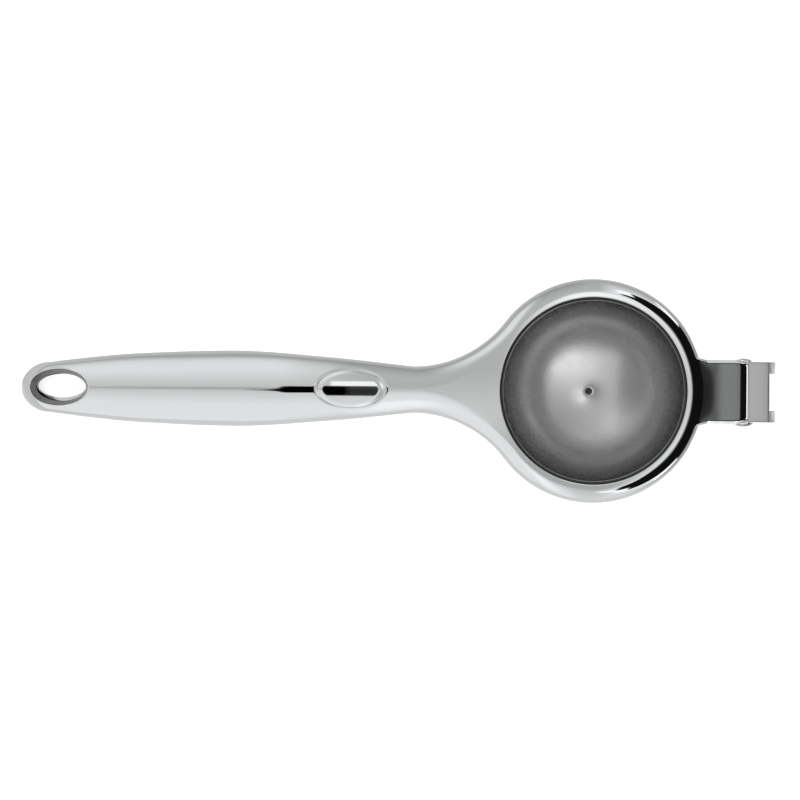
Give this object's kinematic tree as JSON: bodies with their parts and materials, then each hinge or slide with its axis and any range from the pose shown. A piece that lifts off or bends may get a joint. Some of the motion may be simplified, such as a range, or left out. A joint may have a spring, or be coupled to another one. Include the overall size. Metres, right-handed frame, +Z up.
{
  "type": "hinged lemon squeezer",
  "caption": "Closed two-handled citrus press: a round press dish swings on a riveted hinge into a pierced strainer cup; drooping handles with an oval hanging hole.",
  "frame": {"origin": "middle of the flat base under the strainer cup, on the axis of the cup and the press dish", "axes": "+Z up along the cup's axis, handles toward -X and hinge toward +X, hinge pin along Y; arms closed, tool lying on its cup and its tail"},
  "size_m": [0.2369, 0.0694, 0.0354],
  "materials": {
    "chrome_casting": "mirror chrome plate on a die casting",
    "chrome_badge": "mirror chrome",
    "satin_steel": "satin, spun",
    "rivet_steel": "semi-bright"
  },
  "bodies": {
    "lower_half": {"lower_arm": "chrome_casting", "strainer_cup": "satin_steel", "hinge_pin": "rivet_steel", "pin_washer": "rivet_steel"},
    "upper_half": {"upper_arm": "chrome_casting", "press_dish": "satin_steel", "handle_badge": "chrome_badge"}
  },
  "joints": [
    {"name": "arm_hinge", "type": "hinge", "parent": "lower_half", "child": "upper_half", "pos_m": [0.0477, 0, 0.0205], "axis": [0, 1, 0], "range_deg": [0, 110]}
  ]
}
